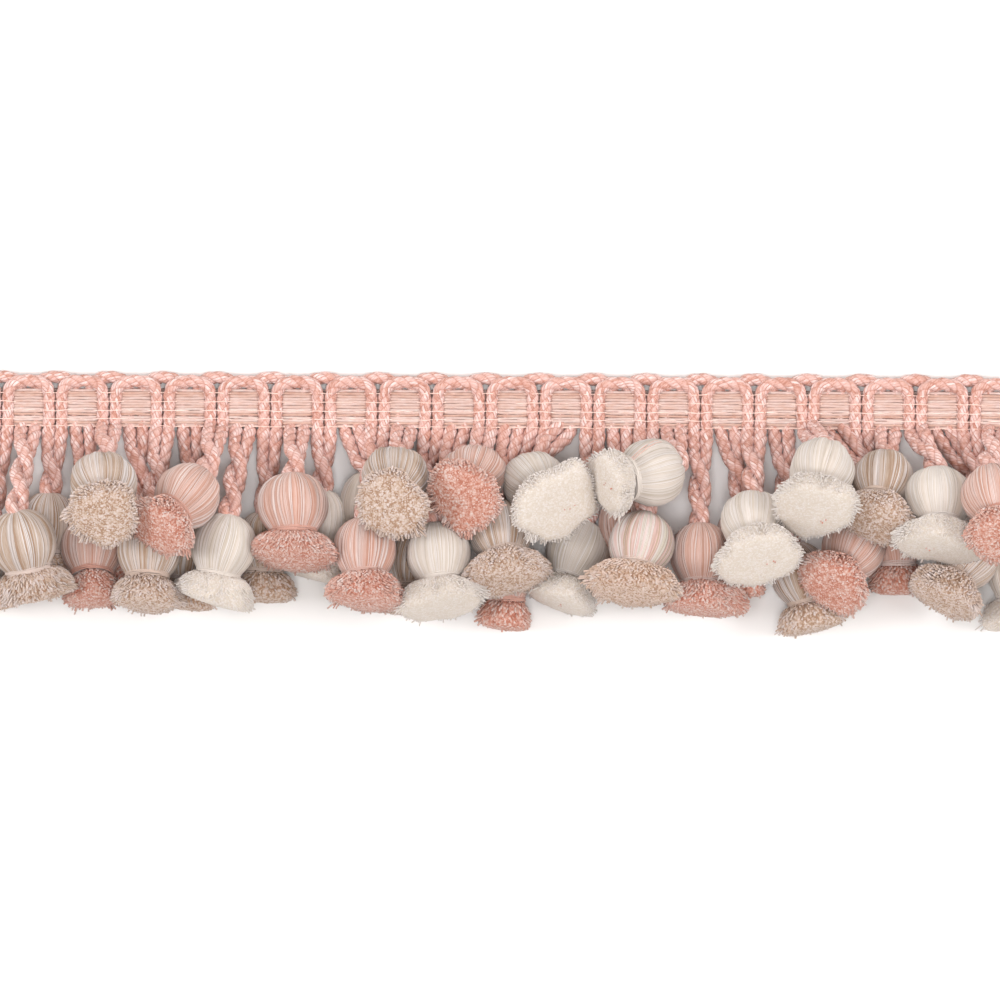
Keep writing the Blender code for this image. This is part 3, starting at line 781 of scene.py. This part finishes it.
# How many times each wave goes round, and how deep it is: in a ball in millimetres, in a brush as a share
BALL_WAVES = ((2, 0.18), (3, 0.15), (5, 0.11), (8, 0.08), (13, 0.06))
BRUSH_WAVES = ((2, 0.06), (3, 0.05), (5, 0.03), (8, 0.022), (13, 0.015))
THIN_GROOVES = 15
DEEP_GROOVES = 3
RIM_TUFTS = 4

# How far apart the numbers of two tassels' strands and pile ends are, and where those of the binding and of
# the stray ends and strands start
STRAND_NUMBERS = 400
BINDING_NUMBER = 390
END_NUMBERS = 9000
STRAY_END_NUMBER = 8000
STRAY_STRAND_NUMBER = 8100


def outline(line, radius, step):
    """A line of (along, share) as places along the axis and radii, smooth and an even step apart."""
    along, share = np.array(line).T
    points = smooth_line(even_steps(np.stack([along, share * radius, 0 * share], axis=1), 0.3), 4)
    points = even_steps(points, step)
    return points[:, 0], points[:, 1]


def wrapped(angle):
    """The same angle, from minus half a turn to half a turn."""
    return (angle + math.pi) % TAU - math.pi


def strand_radii(full, down, turn, strands, rng):
    """How far out each point of a ball is: the outline's radius, plus a ridge for each strand.

    Sines round the ball make uneven bundles, bell curves across it thin grooves and a few deep ones by the
    pole. Two columns make a strand, one on its ridge and one in its groove.
    """
    body = np.sin(math.pi * down) ** 0.5
    radius = full + np.zeros_like(turn)
    for waves, depth in BALL_WAVES:
        radius += depth * body * np.sin(waves * turn + rng.uniform(0, TAU) + rng.uniform(-1.5, 1.5) * down)
    for _ in range(THIN_GROOVES):
        aside = wrapped(turn - rng.uniform(0, TAU) - rng.uniform(-0.25, 0.25) * down)
        fade = np.exp(-((down - rng.uniform(0.05, 0.95)) / rng.uniform(0.2, 0.45)) ** 2)
        radius -= rng.uniform(0.12, 0.4) * fade * np.exp(-(aside / 0.05) ** 2)
    for _ in range(DEEP_GROOVES):
        aside = wrapped(turn - rng.uniform(0, TAU) - rng.uniform(-0.3, 0.3) * down)
        fade = np.exp(-((down - 0.12) / rng.uniform(0.14, 0.30)) ** 2)
        radius -= rng.uniform(0.7, 1.6) * fade * np.exp(-(aside / rng.uniform(0.07, 0.14)) ** 2)
    ridge = np.where(np.arange(2 * strands) % 2, 1.0, -1.0)
    proud = np.repeat(rng.uniform(0.3, 1.7, strands), 2)
    # Towards the pole a ridge and a gap get as narrow as the ball
    narrow = np.clip(full / 5, 0.1, 1)
    radius += STRAND_LIFT * ridge * proud * narrow
    # Here and there two strands stand apart for part of their length
    parted = (rng.random(strands) < 0.22) * rng.uniform(0.15, 0.45, strands)
    where = rng.uniform(0.0, 1.0, strands)
    radius[:, 0::2] -= parted * np.exp(-((down - where) / 0.3) ** 2) * narrow
    return np.maximum(radius, 0.05 * full)


def ball_patch(tassel, detail, axes, first, rng):
    """Yarn strands drawn from the pole over a ball to the neck, which lean and wave a little as sines do."""
    along, radius = outline(BALL_LINE, tassel.ball, 0.2)
    spots = np.linspace(0, len(along) - 1, detail.rows)
    along, radius = [np.interp(spots, np.arange(len(along)), line)[:, None] for line in (along, radius)]
    columns = 2 * detail.strands
    turn = TAU * np.arange(columns) / columns + np.zeros_like(along)
    down = np.linspace(0, 1, detail.rows)[:, None]
    body = np.sin(math.pi * down) ** 0.5
    radius = strand_radii(radius, down, turn, detail.strands, rng)
    bent = (turn + rng.uniform(-0.25, 0.25) * (down - 0.5)
            + 0.030 * body * np.sin(4 * turn + 3.0 * down + rng.uniform(0, TAU))
            + 0.016 * body * np.sin(9 * turn - 5.0 * down + rng.uniform(0, TAU))
            + 0.010 * body * np.sin(17 * turn + 9.0 * down + rng.uniform(0, TAU)))
    axis, level, upright = axes
    out = np.cos(bent)[..., None] * level + np.sin(bent)[..., None] * upright
    points = along[..., None] * axis + radius[..., None] * out
    faces, row, column = grid_faces(detail.rows, columns)
    corner = np.stack([first + SHADE_STEP * column, BALL_LENGTH * down[row, 0]], axis=-1)
    flat = np.full((1, columns, 2), first + 0.5)
    faces = [faces, *end_faces(detail.rows, columns)]
    return PATCH(points.reshape(-1, 3), faces, [corner, flat, flat], 0)


def uneven(a, r, turn, number):
    """Moves places on the brush's even outline to its uneven one: wider to some sides, its face aslant.

    Sines and two bell curves round it make it wider, and its face is a tilted plane. A brush's core and its
    ends get the same ones, because both draw them from the tassel's number.
    """
    rng = np.random.default_rng(number)
    swell = np.ones_like(turn)
    for waves, depth in BRUSH_WAVES:
        swell = swell + depth * np.sin(waves * turn + rng.uniform(0, TAU))
    for _ in range(2):
        swell = swell + rng.uniform(0.0, 0.16) * np.exp(-(wrapped(turn - rng.uniform(0, TAU)) / 0.3) ** 2)
    slant = rng.uniform(-0.14, 0.14, 2)
    return a + ease(a, 7.0, 14.0) * r * (slant[0] * np.cos(turn) + slant[1] * np.sin(turn)), r * swell


def packed_patch(tassel, line, axes, number, rng):
    """The brush's packed pile: its outline turned about the axis, sunk below the ends, most by the rim."""
    along, radius = line
    width = tassel.brush - FRAY
    smooth_face = tassel.yarn == "cream"
    rows = len(along[::3])
    around = TAU * np.arange(CORE_COLUMNS) / CORE_COLUMNS + np.zeros((rows, 1))
    core_a = along[::3, None]
    core_r = radius[::3, None]
    sunk = (0.04 if smooth_face else 0.2) + 0.14 * ease(core_r, 0.72 * width, width)
    grain = (0.03 if smooth_face else 0.06) * rng.normal(0, 1, (rows, CORE_COLUMNS)) * (core_r > 1)
    core_a, core_r = uneven(core_a + grain, np.maximum(core_r - sunk, 0.1) + 0 * around, around, number)
    return lathe(core_r, core_a, axes, 1)


def ends_patch(tassel, detail, line, axes, number, rng):
    """Single ends all over the brush: short blunt prisms that fan out from the neck.

    The ends stand at even steps of the outline's area and of the golden angle, each moved a little by
    chance. They lean from the fan towards the outline's normal, and down the skirt, and stand proud of it by
    chance, most of all in tufts round the rim. A cream brush is cut so close that its face is smooth, and
    only its rim and its skirt have ends.
    """
    along, radius = line
    width = tassel.brush - FRAY
    axis, level, upright = axes
    smooth_face = tassel.yarn == "cream"
    bands = (radius[1:] + radius[:-1]) / 2 * np.hypot(np.diff(along), np.diff(radius))
    area = np.concatenate([[0], bands.cumsum()])
    count = int(detail.ends * (tassel.brush / USUAL_BRUSH) ** 2)
    order = np.arange(count)
    spot = np.interp((order + rng.uniform(0, 1, count)) / count * area[-1], area, np.arange(len(area)))
    a, r, run, rise = [np.interp(spot, np.arange(len(values)), values)
                       for values in (along, radius, np.gradient(along), np.gradient(radius))]
    turn = (order * GOLDEN_ANGLE + rng.normal(0, 0.03, count)) % TAU
    rim = ease(r, 0.84 * width, width)
    skirt = 1 - ease(a, 9.5, 12.4)
    out = np.cos(turn)[:, None] * level + np.sin(turn)[:, None] * upright
    fan = unit((a - PILE_ROOT)[:, None] * axis + r[:, None] * out)
    normal = unit(run[:, None] * out - rise[:, None] * axis)
    down = unit(run[:, None] * axis + rise[:, None] * out)
    ways = unit(fan + (1 - 0.75 * skirt)[:, None] * normal + (0.9 * skirt)[:, None] * down)
    ways = unit(ways + rng.normal(0, 0.12, (count, 3)))
    proud = rng.normal(0.03, 0.08, count) + rim * rng.uniform(0, 0.5, count)
    proud += (rng.random(count) < 0.02 + 0.12 * rim) * rng.uniform(0.2, 0.9, count)
    proud += 0.3 * rim * np.maximum(np.sin(7 * turn + number) + 0.5 * np.sin(19 * turn), 0)
    for _ in range(RIM_TUFTS):
        near = np.exp(-(wrapped(turn - rng.uniform(0, TAU)) / rng.uniform(0.05, 0.2)) ** 2)
        proud += rim * near * rng.uniform(0.3, 1.0) * rng.uniform(0.5, 2.2, count)
    a, r = uneven(a, r, turn, number)
    tips = a[:, None] * axis + r[:, None] * out + proud[:, None] * ways
    length = PILE_LENGTH + np.maximum(proud, 0)[:, None]
    thick = FINE_PILE_R if smooth_face else PILE_R
    thick = thick * rng.uniform(0.8, 1.25, (count, 1, 1)) * np.ones((1, 2, 3))
    kept = np.ones(count, dtype=bool)
    if smooth_face:
        kept = rng.random(count) < 0.03 + rim + ease(skirt, 0.1, 0.5)
    paths = np.stack([tips - length * ways, tips], axis=1)[kept]
    return sweep(paths, thick[kept], first=number * END_NUMBERS, finish=2)


def binding_patch(tassel, axes, number, rng):
    """Close turns of the tassel's own yarn round the neck: a helix that wavers along and out."""
    axis, level, upright = axes
    turn = np.linspace(0, BINDING_TURNS * TAU, 96)
    out = np.cos(turn)[:, None] * level + np.sin(turn)[:, None] * upright
    along = NECK_ALONG - 0.6 + 0.34 * turn / TAU + 0.14 * waver(turn, 5.0, rng)[0]
    reach = NECK_SHARE * tassel.ball + 0.2 + 0.1 * waver(turn, 3.0, rng)[0]
    path = along[:, None] * axis + reach[:, None] * out
    first = number * STRAND_NUMBERS + BINDING_NUMBER
    return sweep(path[None], np.full((1, len(turn), 5), BINDING_R), first=first, finish=2)


def stray_patch(axes, number, rng):
    """Three rose ends that strayed into a cream brush's face."""
    axis, level, upright = axes
    turn = rng.uniform(0, TAU) + rng.uniform(-0.4, 0.4, 3)
    r = rng.uniform(0.5, 4.5, 3)
    out = np.cos(turn)[:, None] * level + np.sin(turn)[:, None] * upright
    tips = FACE_ALONG * axis + r[:, None] * out
    first = number * END_NUMBERS + STRAY_END_NUMBER
    paths = np.stack([tips - axis, tips], axis=1)
    return sweep(paths, np.full((3, 2, 4), STRAY_END_R), first=first, finish=3)


def stray_strand(tassel, axes, turn, number):
    """A rose strand that lies on a cream ball from its pole to its neck."""
    axis, level, upright = axes
    along, radius = outline(BALL_LINE, tassel.ball, 0.5)
    down = np.linspace(0, 1, len(along))
    turn = turn + 0.12 * np.sin(5 * down)
    out = np.cos(turn)[:, None] * level + np.sin(turn)[:, None] * upright
    path = along[:, None] * axis + (radius + 0.06)[:, None] * out
    first = number * END_NUMBERS + STRAY_STRAND_NUMBER
    return sweep(path[None, 1:], np.full((1, len(path) - 1, 5), STRAY_STRAND_R), first=first, finish=3)


def make_tassel(number, tassel, place, finishes):
    """One tassel, made round the origin and moved to its place. finishes: ball, core, ends and strays."""
    rng = np.random.default_rng(100 + number)
    detail = DETAILS[tassel.show]
    brush_line = outline(BRUSH_LINE, tassel.brush - FRAY, 0.25)
    patches = [ball_patch(tassel, detail, place.axes, number * STRAND_NUMBERS, rng),
               packed_patch(tassel, brush_line, place.axes, number, rng),
               ends_patch(tassel, detail, brush_line, place.axes, number, rng),
               binding_patch(tassel, place.axes, number, rng)]
    if tassel.yarn == "cream" and tassel.show:
        patches.append(stray_patch(place.axes, number, rng))
    if number == STRAY_BALL:
        patches += [stray_strand(tassel, place.axes, turn, number) for turn in STRAY_TURNS]
    patches = [p._replace(points=p.points + place.middle) for p in patches]
    name = f"tassel_{number + 1:02d}"
    add_piece("yarn_" + name, patches, finishes, tassel.yarn, name)


# ---------------------------------------------------------------- stage

def make_stage():
    """A wide sheet of white studio paper: smooth, uncoated and matt, so that it takes only soft shadows."""
    bpy.ops.mesh.primitive_plane_add(size=6, location=(0, 0, 0))
    floor = bpy.context.object
    floor.name = "floor"
    material = bpy.data.materials.new("white_paper")
    material.use_nodes = True
    shader = material.node_tree.nodes["Principled BSDF"]
    shader.inputs["Base Color"].default_value = linear("#EAE9E9")
    shader.inputs["Roughness"].default_value = 0.9
    shader.inputs["Specular IOR Level"].default_value = 0.1
    floor.data.materials.append(material)


# The soft lamps: where each is and its width in metres, and its power in watts
LAMP = namedtuple("LAMP", "name x y z width power")
LAMPS = (
    LAMP("left", -1.0, -0.05, 0.75, 0.5, 6.6),
    LAMP("right", 1.0, -0.05, 0.75, 0.5, 6.4),
    LAMP("top", 0.1, 1.3, 0.6, 0.5, 6.0),
    LAMP("front", 0.0, -0.2, 1.5, 0.6, 11.5),
)
AIM = (0.0, -0.02, 0.0)


def make_light():
    """Disc lamps that each face the middle of the trim, and a warm, even light from all round."""
    scene = bpy.context.scene
    scene.world = bpy.data.worlds.new("studio")
    scene.world.use_nodes = True
    background = scene.world.node_tree.nodes["Background"]
    background.inputs["Color"].default_value = linear("#FBF2EA")
    background.inputs["Strength"].default_value = 0.5
    for lamp in LAMPS:
        data = bpy.data.lights.new(lamp.name, "AREA")
        data.shape = "DISK"
        data.size = lamp.width
        data.energy = lamp.power
        light = bpy.data.objects.new(lamp.name, data)
        light.location = (lamp.x, lamp.y, lamp.z)
        aim = np.array(AIM) - (lamp.x, lamp.y, lamp.z)
        tilt = math.acos(-aim[2] / np.linalg.norm(aim))
        light.rotation_euler = (tilt, 0, math.atan2(aim[0], -aim[1]) + math.pi)
        scene.collection.objects.link(light)
    scene.view_settings.view_transform = "Standard"


# How wide a stretch of the surface the camera takes in, where its middle is, and its turn in degrees
VIEW_WIDTH = 240.0
VIEW_X = 3.6
VIEW_Y = -21.84
ROLL = -0.23
VIEW_Z = 3.0  # the height at which the view is that wide
LENS = 400.0
SENSOR = 36.0


def make_camera():
    """Straight down on the trim through a long lens."""
    data = bpy.data.cameras.new("camera")
    data.lens = LENS
    data.sensor_width = SENSOR
    camera = bpy.data.objects.new("camera", data)
    camera.location = (VIEW_X * MM, VIEW_Y * MM, (VIEW_WIDTH * LENS / SENSOR + VIEW_Z) * MM)
    camera.rotation_euler = (0, 0, math.radians(-ROLL))
    bpy.context.scene.collection.objects.link(camera)
    bpy.context.scene.camera = camera


def main():
    """Makes the stage, then the heading, the cords and every tassel, each of its own yarn."""
    make_stage()
    make_light()
    make_camera()
    # The warp is slack, single cotton yarn, dyed and hardly twisted: fine, soft, even lines of dusty blush,
    # and the colour after the dyes is painted shade where each yarn meets the next
    make_warp(yarn("warp_cotton", ("#BC9282", "#CAA99C", "#D0B7B0", "#D8CCC6"), "#A06F60", band=2.0,
                   shares=(0.3, 0.6, 0.6, 0.7), fibre=1.5, fibres=3.0))
    # The binders are fine cotton thread, pulled tight, so they are smooth and pale against the cord, and the
    # colour after the dyes is painted shade along the side of each thread
    make_binders(yarn("binder_cotton", ("#EFC9BC", "#F6DACF", "#FAE6DE"), "#DDAF9F"))
    # The cord is cotton yarn plied and plied again: four strands lie aslant across each round ply, and the
    # grooves between strands and plies are painted in a deep, reddish shade
    make_cords(yarn("plied_cord_cotton", ("#B88070", "#D2A599", "#E0BDB7", "#EBD9D6"), "#AF7767", band=3.0,
                    shares=(0.1, 0.7, 1.5, 0.5), fibre=1.0, fibres=2.0, aslant=(4, 0.5)))
    # A ball is dyed cotton yarn laid straight from pole to neck: fine lines, each a little lighter or darker
    # than the next, and mixed has whole bands of cream and of rose. The colour after the dyes is painted
    # shade in the lines between strands
    balls = {
        "cream": yarn("cream_strands", ("#C4B7A8", "#D2C7BE", "#D8D0CB", "#DCD6D5"), "#AA9882",
                      shares=(0.15, 0.7, 0.6, 0.2), fibres=3.0, fibre=2.5),
        "sand": yarn("sand_strands", ("#A38670", "#BCA899", "#CBBDB6", "#D3CCCB"), "#7B5F49",
                     shares=(0.3, 1.0, 0.8, 0.4), fibres=3.0, fibre=2.5),
        "rose": yarn("rose_strands", ("#BF9180", "#CDA89B", "#D5B8AF", "#DCCDC9"), "#8B5340",
                     shares=(0.25, 0.95, 0.8, 0.4), fibres=3.0, fibre=2.5),
        "mixed": yarn("mixed_strands", ("#B9A18E", "#D2B2AC", "#D5CDCA", "#CDC4B5"), "#937462", band=7.0,
                      shares=(1.4, 0.9, 0.6, 0.4), fibres=3.0, fibre=2.5),
    }
    # A brush is the same yarn cut square across: its ends take up light, so they look deeper than its sides,
    # and the first dye of each is the shade down between the ends
    dyes = {
        "cream": ("#CCC0B4", "#D4CBC3", "#DAD3D0"),
        "sand": ("#A0816B", "#BBA290", "#CBB9AF", "#D3C6C3"),
        "rose": ("#B17360", "#C39081", "#CEA99D", "#D7C5C0"),
        "mixed": ("#A4836C", "#C1A692", "#CFB8AC", "#D6C7C0"),
    }
    brushes = {name: pile(name + "_pile", stops[1:], stops[0]) for name, stops in dyes.items()}
    packed = {name: packed_pile(name + "_packed_pile", stops, FINE_GRAIN if name == "cream" else GRAIN)
              for name, stops in dyes.items()}
    for number, (tassel, place) in enumerate(zip(TASSELS, PLACES)):
        kind = tassel.yarn
        make_tassel(number, tassel, place, [balls[kind], packed[kind], brushes[kind], brushes["rose"]])


main()
